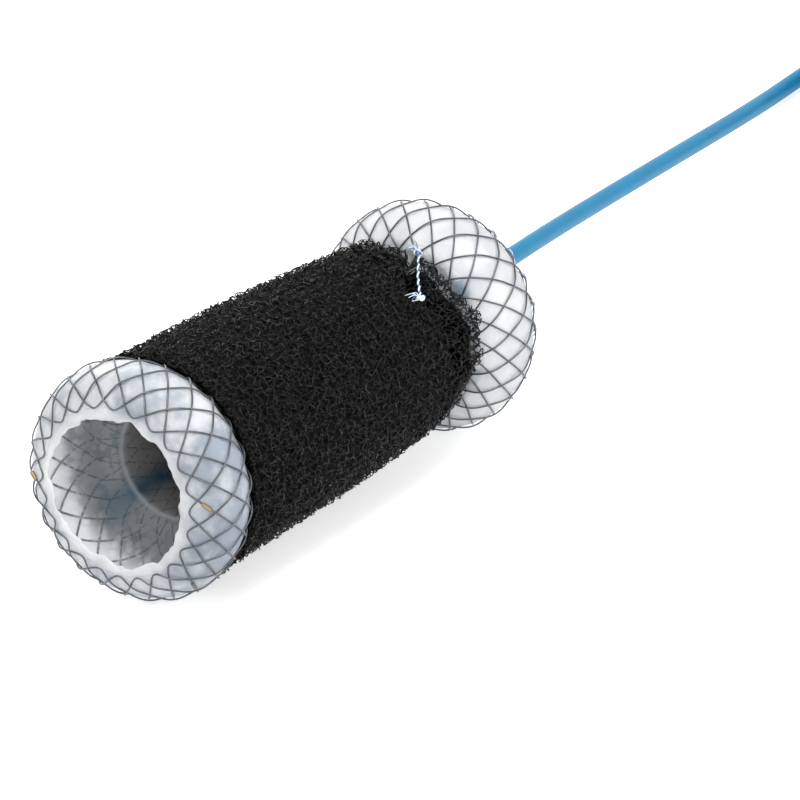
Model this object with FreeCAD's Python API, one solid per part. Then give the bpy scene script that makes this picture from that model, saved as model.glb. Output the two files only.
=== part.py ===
import FreeCAD, Part
import math
import os

# Covered vacuum stent lying on a flat surface.
# Frame: X along the stent with the catheter end at +X, Z up, origin under mid-length on the surface.
# Stations along the stent are counted from each end plane inwards.

doc = FreeCAD.newDocument("vacuum_stent")
sheet = doc.addObject("Spreadsheet::Sheet", "Sizes")
Vector = FreeCAD.Vector

SIZES = [
    ("stent_length", 72.0),          # end plane to end plane, wires included
    ("flare_radius", 15.0),          # largest radius of the flares, outer wires included
    ("flare_section", 5.35),         # radius of the rolled flare section, outer wires included
    ("lumen_radius", 7.0),           # clear bore of the film tube
    ("film_wall", 0.2),
    ("throat_gap", 1.82),            # axial room of the throat between flare section and film tube
    ("lip_drop", 5.85),              # from the flare's radius down to the film's free edge
    ("lip_wave", 0.3),               # by how much the free edge waves
    ("wire_size", 0.24),             # side of the wire's square section
    ("wire_gap", 0.02),              # between two crossing wires
    ("film_gap", 0.03),              # between the film and the inner wires
    ("throat_lift", 0.1),            # extra room of the wires over the throat corner
    ("crown_count", 24),
    ("flare_rings", 8),              # rings of crossings from the crowns to the film tube
    ("lumen_rings", 19),             # rings of crossings along the film tube
    ("lumen_steps", 4),              # straight wire runs along the film tube
    ("crown_angle", 10.3),           # degrees on the flare section from its front to the crowns
    ("ring_angle", 26.5),            # degrees on the flare section from ring to ring
    ("crown_round", 0.8),            # roundness of the crowns, in rings
    ("near_phase", 2.4),             # degrees about the axis to the first near crown
    ("lumen_twist", -5.3),           # degrees that the far flare is turned against the near one
    ("foam_bore_gap", 0.12),
    ("foam_sides", 32),
    ("foam_bore_inset", 0.4),        # between the foam and the outer wires
    ("foam_near_drop", 0.85),        # how far the foam's radii are below the flare's
    ("foam_mid_drop", 1.2),
    ("foam_far_drop", 2.3),
    ("foam_end_drop", 3.5),
    ("foam_swell", 0.12),
    ("foam_seat_gap", 0.2),          # between the foam's ends and the flares
    ("foam_channel_room", 0.02),     # between the catheter and its channel in the foam
    ("foam_mid_station", 34.0),
    ("foam_far_station", 19.0),      # from the far end plane to where the foam rounds off
    ("slit_width", 1.3),
    ("slit_depth", 2.4),
    ("slit_length", 13.0),
    ("slit_lead", 0.6),              # how far the slit begins before the knot
    ("slit_rise", 2.0),              # how far its open side stands out of the foam
    ("catheter_radius", 1.2),
    ("catheter_bore", 0.7),
    ("catheter_angle", -40.4),       # degrees about the axis from +Y towards +Z
    ("catheter_gap", 0.15),          # between the film tube's outer wires and the catheter
    ("catheter_spread", 0.45),       # further out where it passes the far flare
    ("catheter_bend", 12.0),         # bend radius inside the far flare
    ("catheter_clearance", 0.08),
    ("mouth_run", 3.5),              # first run of the free catheter, in line with its inner end
    ("pass_reach", 2.6),             # how far the braid opens round the catheter, and by how much
    ("pass_push", 0.36),
    ("bend_station", 7.2),           # from the far end plane to the bend behind the rear wall
    ("tube_sides", 12),
    ("bend_step", 9.0),              # degrees of a bend between two sections
    ("tip_station", 12.0),
    ("hole_radius", 0.4),
    ("hole_pitch", 7.5),
    ("hole_count", 3),
    ("sleeve_radius", 0.3),
    ("sleeve_bore", 0.19),
    ("sleeve_length", 1.3),
    ("crimp_length", 1.9),
    ("thread_size", 0.3),
    ("thread_gap", 0.04),
    ("thread_top_station", 13.4),    # from the far end plane to where the thread crosses the shoulder
    ("thread_top_angle", 111.0),
    ("thread_top_depth", 0.9),
    ("thread_top_lift", 0.5),
    ("thread_sag_lift", 0.3),
    ("knot_station", 20.7),
    ("knot_angle", 134.0),
    ("knot_depth", 0.1),
    ("knot_width", 0.9),
    ("knot_lift", 0.85),
    ("fray_length", 2.6),
    ("thread_end_station", 9.9),     # where the thread meets the far flare
    ("thread_end_drop", 2.0),
    ("thread_end_angle", 106.0),
    ("coil_distance", 141.0),        # from the far end plane to the coil's middle
    ("coil_y", 9.4),
    ("coil_base", 0.6),
    ("coil_sides", 28),
    ("coil_mean_radius", 13.2),
    ("coil_width", 9.8),
    ("coil_height", 7.2),
    ("lead_length", 10.5),           # straight ends of the coil, in and out
    ("hub_height", 4.2),             # axis of the hub above the surface
    ("tie_wall", 0.5),
    ("tie_width", 2.6),
    ("tie_gap", 0.05),
    ("tie_room", 0.1),               # added to the gap for the curve of the coil
    ("hub_radius", 2.9),
    ("hub_length", 13.0),
    ("hub_mouth_radius", 2.15),      # female cone at its mouth
    ("hub_cone_depth", 8.0),
    ("hub_taper", 0.03),             # radius lost per millimetre of depth
    ("nose_length", 3.0),
    ("nose_radius", 2.1),
    ("lug_radius", 3.9),
    ("lug_width", 4.0),
    ("lug_length", 1.6),
    ("wing_width", 9.0),
    ("wing_thickness", 1.2),
    ("wing_length", 5.0),
]
for row, (alias, value) in enumerate(SIZES, start=1):
    sheet.set("A%d" % row, alias)
    sheet.set("B%d" % row, str(value))
    sheet.setAlias("B%d" % row, alias)
doc.recompute()


def size(alias):
    return float(sheet.get(alias))


def count(alias):
    return int(round(size(alias)))


# Free run of the catheter: x from the far end plane, y, and height. The first points leave the
# mouth, with heights from the stent's axis; the others come down to the surface, with heights from it.
ROUTE_AT_MOUTH = [
    (-1.0, 6.00, -4.60),
    (8.7, 5.03, -2.55),
    (20.7, 5.75, -2.31),
]
ROUTE_TO_COIL = [
    (40.1, 9.80, 11.00),
    (72.9, 16.50, 8.00),
    (102.0, 22.30, 4.60),
    (119.0, 26.30, 1.80),
    (130.5, 26.30, 1.80),
]

AXIS_HEIGHT = size("flare_radius")
HALF = size("stent_length") / 2
CATHETER_ROUTE = [Vector(HALF + x, y, AXIS_HEIGHT + z) for x, y, z in ROUTE_AT_MOUTH]
CATHETER_ROUTE += [Vector(HALF + x, y, z) for x, y, z in ROUTE_TO_COIL]
SECTION_STATION = size("flare_section")
SECTION_RADIUS = size("flare_radius") - size("flare_section")
OUTER_LAYER = size("flare_section") - size("wire_size") / 2
INNER_LAYER = OUTER_LAYER - size("wire_size") - size("wire_gap")
MEAN_LAYER = (OUTER_LAYER + INNER_LAYER) / 2
LAYER_STEP = (OUTER_LAYER - INNER_LAYER) / 2
FILM_OUTER = INNER_LAYER - size("wire_size") / 2 - size("film_gap")
TUBE_OUTER = size("lumen_radius") + size("film_wall")
PITCH = 360.0 / count("crown_count")
TUBE_STATION = 2 * size("flare_section") - size("wire_size") + size("throat_gap")
TUBE_LENGTH = size("stent_length") - 2 * TUBE_STATION
RING_COUNT = 2 * count("flare_rings") + count("lumen_rings")
FAR_PHASE = size("near_phase") + PITCH / 2 * RING_COUNT + size("lumen_twist")


def place(station, radius, angle, far=False):
    """Point at a station from an end plane, a radius from the axis and an angle about it."""
    x = HALF - station if far else station - HALF
    turn = math.radians(angle)
    return Vector(x, radius * math.cos(turn), AXIS_HEIGHT + radius * math.sin(turn))


def section_angle(ring):
    """Angle on the flare section: a hyperbola in the ring number, level at the crown."""
    lean = size("crown_round")
    return math.radians(size("crown_angle") + size("ring_angle") * (math.hypot(ring, lean) - lean))


def flare_point(ring, layer):
    """Station and radius of a ring on a layer of the rolled flare section."""
    angle = section_angle(ring)
    return SECTION_STATION - layer * math.cos(angle), SECTION_RADIUS + layer * math.sin(angle)


def polar(radius, degrees):
    """Y and Z of a point at a radius and an angle about the stent's axis."""
    turn = math.radians(degrees)
    return radius * math.cos(turn), AXIS_HEIGHT + radius * math.sin(turn)


def throat_radius(layer):
    """Radius of a layer where it meets the film tube, lifted to bridge the throat's corner."""
    return tube_radius(layer) + size("throat_lift")


def tube_radius(layer):
    """Radius of a layer on the film tube, high enough for the straight runs to clear the tube."""
    half_run = math.radians(PITCH / 2 * count("lumen_rings") / count("lumen_steps") / 2)
    clear = (TUBE_OUTER + size("film_gap") + size("wire_size") / 2) / math.cos(half_run)
    return clear + layer - INNER_LAYER


def catheter_rest():
    """Distance of the catheter's middle from the stent's axis, where it lies on the wires."""
    return tube_radius(OUTER_LAYER) + size("wire_size") / 2 + size("catheter_radius") + size("catheter_gap")


def catheter_pass():
    """Y and Z where the catheter goes through the far flare's rear wall."""
    return polar(catheter_rest() + size("catheter_spread"), size("catheter_angle"))


def spread(point):
    """Moves a point of wire or film away from the catheter where it passes the far flare."""
    y, z = catheter_pass()
    reach = size("pass_reach")
    push = size("pass_push")
    away = Vector(0, point.y - y, point.z - z)
    distance = away.Length
    if point.x < HALF - TUBE_STATION - 1 or distance < 0.01:
        return point
    return point + away * (push * math.exp(-(distance / reach) ** 2) / distance)


def check(shape, name):
    if shape.isNull() or not shape.isValid():
        raise RuntimeError(name + " is not a valid shape")
    return shape


def add(name, shape):
    feature = doc.addObject("Part::Feature", name)
    feature.Shape = check(shape, name)
    return feature


# Braid


def wire_stations():
    """Ring numbers of a wire's corners on a flare, from its crown to the film tube."""
    return [0, 0.5] + list(range(1, count("flare_rings") + 1))


def leg(crown, hand, far):
    """Corners of one wire on a flare: point and outward direction, from the crown inwards."""
    phase = FAR_PHASE if far else size("near_phase")
    corners = []
    for ring in wire_stations():
        side = hand * min(ring, 1.0)
        layer = MEAN_LAYER + side * LAYER_STEP
        turn = phase + crown * PITCH + (-hand if far else hand) * ring * PITCH / 2
        if ring == count("flare_rings"):
            station, radius = TUBE_STATION, throat_radius(layer)
            normal = place(0, 1, turn) - place(0, 0, turn)
        else:
            station, radius = flare_point(ring, layer)
            base_station, base_radius = flare_point(ring, 0)
            normal = place(station, radius, turn, far) - place(base_station, base_radius, turn, far)
        corners.append((spread(place(station, radius, turn, far)), normal.normalize()))
    return corners


def tube_run(crown, hand):
    """Corners of one wire along the film tube, between the two flares."""
    layer = MEAN_LAYER + hand * LAYER_STEP
    start = size("near_phase") + crown * PITCH + hand * count("flare_rings") * PITCH / 2
    turn_total = hand * count("lumen_rings") * PITCH / 2 + size("lumen_twist")
    steps = count("lumen_steps")
    corners = []
    for step in range(1, steps):
        turn = start + turn_total * step / steps
        point = place(TUBE_STATION + TUBE_LENGTH * step / steps, tube_radius(layer), turn)
        corners.append((point, (point - place(HALF + point.x, 0, turn)).normalize()))
    return corners


def braid_corners():
    """The whole wire: out on the outer layer, back on the inner one, until it closes on itself."""
    crowns = count("crown_count")
    rings = 2 * count("flare_rings") + count("lumen_rings")
    corners = []
    near = 0
    for trip in range(crowns):
        far_crown = near
        corners += leg(near, 1, False)
        corners += tube_run(near, 1)
        corners += reversed(leg(far_crown, 1, True)[1:])
        back = (near + rings) % crowns
        corners += leg(far_crown, -1, True)
        corners += reversed(tube_run(back, -1))
        corners += reversed(leg(back, -1, False)[1:])
        near = back
    return corners


def section(point, normal, along, radius, sides):
    """Corners of a regular polygon across a path, with one of its sides facing outwards."""
    across = normal.cross(along).normalize()
    rise = along.cross(across).normalize()
    corners = []
    for side in range(sides):
        turn = math.pi * (2 * side + 1) / sides
        corners.append(point + (rise * math.cos(turn) - across * math.sin(turn)) * radius)
    return corners


def strand(sections, closed):
    """Solid of flat triangles between neighbouring sections, with ends unless it is closed."""
    total = len(sections)
    sides = len(sections[0])
    triangles = []
    for index in range(total if closed else total - 1):
        this, following = sections[index], sections[(index + 1) % total]
        for side in range(sides):
            a, b = this[side], this[(side + 1) % sides]
            c, d = following[(side + 1) % sides], following[side]
            triangles.append((a, b, c))
            triangles.append((a, c, d))
    if not closed:
        for end in (sections[0][::-1], sections[-1]):
            for side in range(1, sides - 1):
                triangles.append((end[0], end[side], end[side + 1]))
    return solid_of(triangles)


def square_strand(corners, widths, closed):
    """Square wire or thread through corners, each a point and its outward direction."""
    total = len(corners)
    sections = []
    for index, (point, normal) in enumerate(corners):
        ahead = corners[(index + 1) % total if closed else min(index + 1, total - 1)][0]
        behind = corners[index - 1 if closed else max(index - 1, 0)][0]
        sections.append(section(point, normal, ahead - behind, widths[index] / math.sqrt(2), 4))
    return strand(sections, closed)


def solid_of(triangles):
    """Closed solid of flat triangles."""
    faces = [Part.Face(Part.makePolygon([a, b, c, a])) for a, b, c in triangles]
    solid = Part.makeSolid(Part.makeShell(faces))
    if solid.Volume < 0:
        solid = Part.makeSolid(solid.Shells[0].reversed())
    return solid


def prism(start, along, length, radius, sides):
    """Straight bar with a regular section."""
    reference = Vector(0, 0, 1) if abs(along.z) < 0.9 else Vector(1, 0, 0)
    ring = section(start, reference, along, radius, sides)
    return Part.Face(Part.makePolygon(ring + ring[:1])).extrude(along.normalize() * length)


def wire_braid():
    corners = braid_corners()
    return square_strand(corners, [size("wire_size")] * len(corners), True)


def sleeve(crown, ring, far, length):
    """Small sleeve on the outer wire between a ring and the next, bored to clear the wire."""
    corners = leg(crown, 1, far)
    first, second = corners[ring + 1][0], corners[ring + 2][0]
    along = (second - first).normalize()
    start = (first + second) / 2 - along * (length / 2)
    outside = prism(start, along, length, size("sleeve_radius"), 6)
    return outside.cut(prism(start, along, length, size("sleeve_bore"), 6))


# Film


def film_ring(ring, layer, far):
    """Corners of the film under one ring of crossings; the lip comes before ring 0."""
    crowns = count("crown_count")
    phase = FAR_PHASE if far else size("near_phase")
    rings = count("flare_rings")
    inside = layer < FILM_OUTER
    corners = []
    for index in range(crowns):
        turn = phase + index * PITCH + (ring % 2) * PITCH / 2
        if ring < 0:
            wave = math.sin(math.radians(3 * turn + 70)) + math.sin(math.radians(7 * turn + 15))
            lip = size("flare_radius") - size("lip_drop") + size("lip_wave") * wave / 2
            rise = math.asin((lip - SECTION_RADIUS) / layer)
            station, radius = SECTION_STATION - layer * math.cos(rise), lip
        elif ring == rings and inside:
            station, radius = TUBE_STATION, size("lumen_radius") / math.cos(math.radians(PITCH / 2)) + 0.01
        elif ring == rings:
            station = TUBE_STATION
            radius = throat_radius(INNER_LAYER) - size("wire_size") / 2 - size("film_gap")
        else:
            station, radius = flare_point(ring, layer)
        corners.append(spread(place(station, radius, turn, far)))
    return corners


def band(lower, upper, odd):
    """Two rows of triangles between a ring of corners and the next, which is half a pitch on."""
    total = len(lower)
    triangles = []
    for index in range(total):
        follow = (index + 1) % total
        near = (index - 1) % total
        if odd:
            triangles.append((lower[index], upper[follow], upper[index]))
            triangles.append((lower[index], lower[follow], upper[follow]))
        else:
            triangles.append((lower[index], upper[index], upper[near]))
            triangles.append((lower[index], lower[follow], upper[index]))
    return triangles


def rim(outer, inner):
    """Triangles that close the wall between an outer and an inner ring of corners."""
    total = len(outer)
    triangles = []
    for index in range(total):
        follow = (index + 1) % total
        triangles.append((outer[index], inner[index], outer[follow]))
        triangles.append((inner[index], inner[follow], outer[follow]))
    return triangles


def film_flare(far):
    """Film of one flare: flat between the crossings, with the wires on its ridges."""
    rings = [-1] + list(range(count("flare_rings") + 1))
    outer = [film_ring(ring, FILM_OUTER, far) for ring in rings]
    inner = [film_ring(ring, FILM_OUTER - size("film_wall"), far) for ring in rings]
    triangles = rim(outer[0], inner[0]) + rim(outer[-1], inner[-1])
    for rows in (outer, inner):
        for index in range(len(rings) - 1):
            triangles += band(rows[index], rows[index + 1], rings[index] % 2 == 1)
    return solid_of(triangles)


def cover_film():
    start = Vector(-TUBE_LENGTH / 2, 0, AXIS_HEIGHT)
    along = Vector(1, 0, 0)
    tube = Part.makeCylinder(TUBE_OUTER, TUBE_LENGTH, start, along)
    tube = tube.cut(Part.makeCylinder(size("lumen_radius"), TUBE_LENGTH, start, along))
    y, z = catheter_pass()
    hole_start = Vector(TUBE_LENGTH / 2 - 1, y, z)
    hole_radius = size("catheter_radius") + size("catheter_clearance")
    hole = Part.makeCylinder(hole_radius, TUBE_STATION - SECTION_STATION + 1, hole_start, along)
    far = film_flare(True).cut(hole)
    return tube.fuse([film_flare(False), far])


# Catheter


def bent_path(points, radii):
    """Wire of straight runs joined by tangent arcs, with one radius for each inner point."""
    edges = []
    start = points[0]
    for before, corner, after, radius in zip(points, points[1:], points[2:], radii):
        along = (corner - before).normalize()
        onward = (after - corner).normalize()
        turn = along.getAngle(onward)
        reach = radius * math.tan(turn / 2)
        entry = corner - along * reach
        leave = corner + onward * reach
        inward = (onward - along).normalize()
        middle = corner + inward * (radius / math.cos(turn / 2) - radius)
        edges.append(Part.LineSegment(start, entry).toShape())
        edges.append(Part.Arc(entry, middle, leave).toShape())
        start = leave
    edges.append(Part.LineSegment(start, points[-1]).toShape())
    return Part.Wire(edges)


def free_radii(points):
    """Radius of each bend: 0.45 of the shorter run, over the tangent of half the turn."""
    radii = []
    for before, corner, after in zip(points, points[1:], points[2:]):
        turn = (corner - before).getAngle(after - corner)
        shorter = min((corner - before).Length, (after - corner).Length)
        radii.append(0.45 * shorter / math.tan(turn / 2))
    return radii


def stations_along(path):
    """Points and directions on a path: the ends of each run, and steps along each bend."""
    places = []
    for edge in path.OrderedEdges:
        first, last = edge.FirstParameter, edge.LastParameter
        steps = 1
        if isinstance(edge.Curve, Part.Circle):
            turn = edge.tangentAt(first).getAngle(edge.tangentAt(last))
            steps = math.ceil(math.degrees(turn) / size("bend_step"))
        for step in range(steps):
            parameter = first + (last - first) * step / steps
            places.append((edge.valueAt(parameter), edge.tangentAt(parameter)))
    places.append((edge.valueAt(last), edge.tangentAt(last)))
    return places


def corner_radius(radius):
    """Radius to the corners of a regular section that has the area of a round one."""
    sides = count("tube_sides")
    return radius * math.sqrt(2 * math.pi / (sides * math.sin(2 * math.pi / sides)))


def tube_along(path, radius, tip=()):
    """Tube along a path. The tip is a list of distances and shares of the radius at its start."""
    sides = count("tube_sides")
    up = Vector(0, 0, 1)
    full = corner_radius(radius)
    places = stations_along(path)
    start, along = places[0]
    sections = [section(start + along * distance, up, along, full * share, sides) for distance, share in tip]
    sections += [section(point, up, onward, full, sides) for point, onward in places[1 if tip else 0:]]
    return strand(sections, False)


def catheter_points():
    """Tip, the bend inside the far flare, and the far mouth."""
    y, z = polar(catheter_rest(), size("catheter_angle"))
    tip = Vector(size("tip_station") - HALF, y, z)
    y, z = catheter_pass()
    bend = Vector(HALF - size("bend_station"), y, z)
    return [tip, bend, CATHETER_ROUTE[0]]


def suction_catheter():
    """Closed tip and side holes in the foam, then through the far flare's film to its mouth."""
    radius = size("catheter_radius")
    points = catheter_points()
    bends = [size("catheter_bend")]
    rounding = [(0, 0.5), (0.25 * radius, 0.8), (0.9 * radius, 1)]
    outside = tube_along(bent_path(points, bends), radius, rounding)
    tip = points[0]
    along = (points[1] - tip).normalize()
    bore = tube_along(bent_path([tip + along * radius] + points[1:], bends), size("catheter_bore"))
    body = outside.cut(bore)
    direction = along.cross(Vector(tip.x, 0, AXIS_HEIGHT) - tip).normalize()
    for index in range(count("hole_count")):
        centre = tip + along * (size("hole_pitch") * (index + 1))
        body = body.cut(prism(centre, direction, 2 * radius, size("hole_radius"), 8))
    return body


def catheter_run():
    """Free run from the far mouth to the coil, first in line with the catheter inside the mouth."""
    bend, end = catheter_points()[1:]
    onward = (end - bend).normalize() * size("mouth_run")
    points = [end, end + onward] + CATHETER_ROUTE[1:]
    radii = free_radii(points)
    print("bend radii of the free run:", [round(radius, 1) for radius in radii])
    path = bent_path(points, radii)
    tube = tube_along(path, size("catheter_radius"))
    area = math.pi * size("catheter_radius") ** 2
    print("free run %.1f mm long, volume over section %.1f mm" % (path.Length, tube.Volume / area))
    return tube


def coil_centre(height):
    return Vector(HALF + size("coil_distance"), size("coil_y"), height)


def catheter_coil():
    """Closed outer shape of the coil, with a straight lead in and a straight lead out."""
    radius = size("catheter_radius")
    outer = size("coil_mean_radius") + size("coil_width") / 2
    inner = outer - size("coil_width")
    base = size("coil_base")
    up = Vector(0, 0, 1)
    ring = prism(coil_centre(base), up, size("coil_height"), outer, count("coil_sides"))
    ring = ring.cut(prism(coil_centre(base), up, size("coil_height"), inner, count("coil_sides")))
    lead_in = coil_centre(base + radius) + Vector(0, outer - radius, 0)
    lead_out = coil_centre(size("hub_height")) - Vector(0, outer - radius, 0)
    back = Vector(-1, 0, 0)
    full = corner_radius(radius)
    length, sides = size("lead_length"), count("tube_sides")
    leads = [prism(start, back, length, full, sides) for start in (lead_in, lead_out)]
    return ring.fuse(leads)


def coil_tie():
    """Band round the coil's section."""
    inner_x = size("coil_mean_radius") - size("coil_width") / 2
    gap = size("tie_gap")
    wall = size("tie_wall")
    width = size("tie_width")

    def block(grow):
        corner = coil_centre(size("coil_base") - grow) + Vector(inner_x - grow, -width / 2, 0)
        return Part.makeBox(size("coil_width") + 2 * grow, width, size("coil_height") + 2 * grow, corner)

    return block(gap + wall).cut(block(gap + size("tie_room")))


def luer_connector():
    """Female hub with two lugs for a locking ring and two wings, lying on the surface."""
    outer = size("coil_mean_radius") + size("coil_width") / 2
    start = coil_centre(size("hub_height")) + Vector(-size("lead_length"), size("catheter_radius") - outer, 0)
    back = Vector(-1, 0, 0)
    length, nose_length = size("hub_length"), size("nose_length")
    mouth = start + back * length
    nose = prism(start, back, nose_length, size("nose_radius"), 16)
    barrel = prism(start + back * nose_length, back, length - nose_length, size("hub_radius"), 16)
    lug = Vector(size("lug_length"), size("lug_width"), 2 * size("lug_radius"))
    lugs = Part.makeBox(*lug, mouth - Vector(0, lug.y / 2, lug.z / 2))
    wing = Vector(size("wing_length"), size("wing_width"), size("wing_thickness"))
    wings = Part.makeBox(*wing, start + back * (nose_length + wing.x) - Vector(0, wing.y / 2, wing.z / 2))
    depth, mouth_radius = size("hub_cone_depth"), size("hub_mouth_radius")
    forward = Vector(1, 0, 0)
    up = Vector(0, 0, 1)
    inner_radius = mouth_radius - depth * size("hub_taper")
    cone = strand([section(mouth, up, forward, mouth_radius, 24),
                   section(mouth + forward * depth, up, forward, inner_radius, 24)], False)
    bore = prism(mouth + forward * depth, forward, length - depth, size("catheter_bore"), 8)
    return nose.fuse([barrel, lugs, wings]).cut(cone).cut(bore)


# Foam


def flare_seat(rise):
    """X and radius on the near end's seat against the flare, at an angle on the flare section."""
    seat = size("flare_section") + size("foam_seat_gap")
    return SECTION_STATION - HALF + seat * math.cos(rise), SECTION_RADIUS + seat * math.sin(rise)


def seat_rise(drop):
    """Angle on the flare section of a radius that is a drop below the flare's."""
    seat = size("flare_section") + size("foam_seat_gap")
    return math.asin((size("flare_radius") - drop - SECTION_RADIUS) / seat)


def foam_profile():
    """Outline of the foam as x and radius, from the near end of its bore round to the far end."""
    bore = tube_radius(OUTER_LAYER) + size("wire_size") / 2 + size("foam_bore_gap")
    bore_x = HALF - TUBE_STATION - size("foam_bore_inset")
    near_rise, far_rise = seat_rise(size("foam_near_drop")), seat_rise(size("foam_end_drop"))
    middle_x = size("foam_mid_station") - HALF
    middle_radius = size("flare_radius") - size("foam_mid_drop")
    far_x = HALF - size("foam_far_station")
    far_radius = size("flare_radius") - size("foam_far_drop")
    end_x = -flare_seat(far_rise)[0]
    fall = size("foam_end_drop") - size("foam_far_drop")
    outline = [(-bore_x, bore)]
    outline += [flare_seat(near_rise * share) for share in (0, 0.35, 0.7, 1)]
    outline.append((middle_x, middle_radius))
    outline.append(((middle_x + far_x) / 2, (middle_radius + far_radius) / 2 + size("foam_swell")))
    for share in (0, 0.4, 0.7, 0.9, 1):
        radius = far_radius - fall * (1 - math.sqrt(1 - share * share))
        outline.append((far_x + (end_x - far_x) * share, radius))
    for share in (0.5, 0):
        x, radius = flare_seat(far_rise * share)
        outline.append((-x, radius))
    outline.append((bore_x, bore))
    return outline


def foam_sleeve():
    """Sleeve seated against both flares, with a channel for the catheter and a slit for the thread."""
    sides = count("foam_sides")
    rings = []
    for side in range(sides):
        turn = math.radians(360 * side / sides)
        rings.append([Vector(x, radius * math.cos(turn), AXIS_HEIGHT + radius * math.sin(turn))
                      for x, radius in foam_profile()])
    body = strand(rings, True)
    tip, bend = catheter_points()[:2]
    along = (bend - tip).normalize()
    room = size("catheter_radius") + size("catheter_clearance")
    channel_radius = corner_radius(room) + size("foam_channel_room")
    channel = prism(tip - along * room, along, (bend - tip).Length, channel_radius, count("tube_sides"))
    return body.cut([channel, slit()])


def thread_line():
    """Two points of the fixing thread on the foam: at its far shoulder and at the knot."""
    radius = size("flare_radius") - size("foam_far_drop")
    top_radius = radius - size("thread_top_depth")
    top = Vector(HALF - size("thread_top_station"), *polar(top_radius, size("thread_top_angle")))
    knot = Vector(HALF - size("knot_station"), *polar(radius - size("knot_depth"), size("knot_angle")))
    return top, knot


def outwards(point):
    """Direction away from the stent's axis."""
    return Vector(0, point.y, point.z - AXIS_HEIGHT).normalize()


def slit():
    """Narrow wedge that the thread pulls into the foam, open at the far end."""
    top, knot = thread_line()
    along = (top - knot).normalize()
    outward = outwards((top + knot) / 2)
    across = along.cross(outward).normalize()
    half = size("slit_width") / 2
    start = knot - along * size("slit_lead")
    lift = outward * size("slit_rise")
    left, right = start + across * half + lift, start - across * half + lift
    bottom = start - outward * size("slit_depth")
    return Part.Face(Part.makePolygon([left, right, bottom, left])).extrude(along * size("slit_length"))


def fixing_thread():
    """Strand from a wire of the far flare over the slit to a knot with frayed ends."""
    top, knot = thread_line()
    thick, broad = size("thread_size"), size("knot_width")
    start = Vector(HALF - size("thread_end_station"), *polar(size("flare_radius") - size("thread_end_drop"),
                                                         size("thread_end_angle")))
    up, out = outwards(top), outwards(knot)
    middle = (top + knot) / 2
    lift = out * size("knot_lift")
    fray = Vector(-size("fray_length"), 0, 0)
    corners = [(start, up), (top + up * size("thread_top_lift"), up),
               (middle + outwards(middle) * size("thread_sag_lift"), out), (knot + lift, out),
               (knot + lift * 0.9 + fray / 3, out), (knot + lift * 0.85 + fray, out)]
    return square_strand(corners, [thick, thick, thick, broad, 2 * thick, thick], False)


def retrieval_thread():
    """Closed thread over the crossings of the second ring of the far flare."""
    layer = size("flare_section") + size("thread_gap") + size("thread_size") / 2
    corners = []
    for index in range(count("crown_count")):
        turn = FAR_PHASE + index * PITCH
        point = place(*flare_point(2, layer), turn, True)
        corners.append((point, (point - place(*flare_point(2, 0), turn, True)).normalize()))
    return square_strand(corners, [size("thread_size")] * len(corners), True)


PIECES = {
    "wire_braid": wire_braid(),
    "wire_crimp": sleeve(14, 2, False, size("crimp_length")),
    "marker_sleeve_near_left": sleeve(23, 1, False, size("sleeve_length")),
    "marker_sleeve_near_right": sleeve(11, 1, False, size("sleeve_length")),
    "marker_sleeve_far_left": sleeve(5, 1, True, size("sleeve_length")),
    "marker_sleeve_far_right": sleeve(17, 1, True, size("sleeve_length")),
    "cover_film": cover_film(),
    "foam_sleeve": foam_sleeve(),
    "suction_catheter": suction_catheter(),
    "fixing_thread": fixing_thread(),
    "retrieval_thread": retrieval_thread(),
    "catheter_run": catheter_run(),
    "catheter_coil": catheter_coil(),
    "coil_tie": coil_tie(),
    "luer_connector": luer_connector(),
}
features = [add(name, shape) for name, shape in PIECES.items()]
doc.recompute()
for item in doc.Objects:
    if "Invalid" in item.State or "Error" in item.State:
        raise RuntimeError(item.Label + " failed")
os.makedirs("parts", exist_ok=True)
for feature in features:
    check(feature.Shape, feature.Label)
    box = feature.Shape.BoundBox
    print("%s: %d solid(s), volume %.2f, x %.2f to %.2f, y %.2f to %.2f, z %.2f to %.2f" % (
        feature.Label, len(feature.Shape.Solids), feature.Shape.Volume,
        box.XMin, box.XMax, box.YMin, box.YMax, box.ZMin, box.ZMax))
    feature.Shape.exportStep("parts/%s.step" % feature.Label)
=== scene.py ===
import math

import bpy
import numpy as np
from mathutils import Matrix, Vector


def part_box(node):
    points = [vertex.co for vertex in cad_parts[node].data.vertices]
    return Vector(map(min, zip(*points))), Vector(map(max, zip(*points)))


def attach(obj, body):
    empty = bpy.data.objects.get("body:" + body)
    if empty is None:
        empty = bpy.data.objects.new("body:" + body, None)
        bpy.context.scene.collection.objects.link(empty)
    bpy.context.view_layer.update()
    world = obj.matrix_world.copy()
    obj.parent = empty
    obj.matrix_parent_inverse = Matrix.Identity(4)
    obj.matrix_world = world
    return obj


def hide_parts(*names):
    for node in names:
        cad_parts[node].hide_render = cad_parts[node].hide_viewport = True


bl_info = {
    "name": "Vacuum stent",
    "version": (1, 0, 0),
    "blender": (4, 5, 0),
    "location": "View3D > Sidebar > Stent",
    "description": "Braided stent with a cover film, a foam sleeve and a suction catheter",
    "category": "Object",
}

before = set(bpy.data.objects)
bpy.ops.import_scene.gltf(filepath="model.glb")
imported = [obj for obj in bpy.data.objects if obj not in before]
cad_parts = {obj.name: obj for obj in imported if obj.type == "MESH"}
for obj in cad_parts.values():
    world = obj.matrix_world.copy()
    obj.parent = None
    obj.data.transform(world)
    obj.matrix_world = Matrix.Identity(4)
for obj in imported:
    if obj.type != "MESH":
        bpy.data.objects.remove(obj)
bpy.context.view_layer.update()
MM = 0.001

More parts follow.
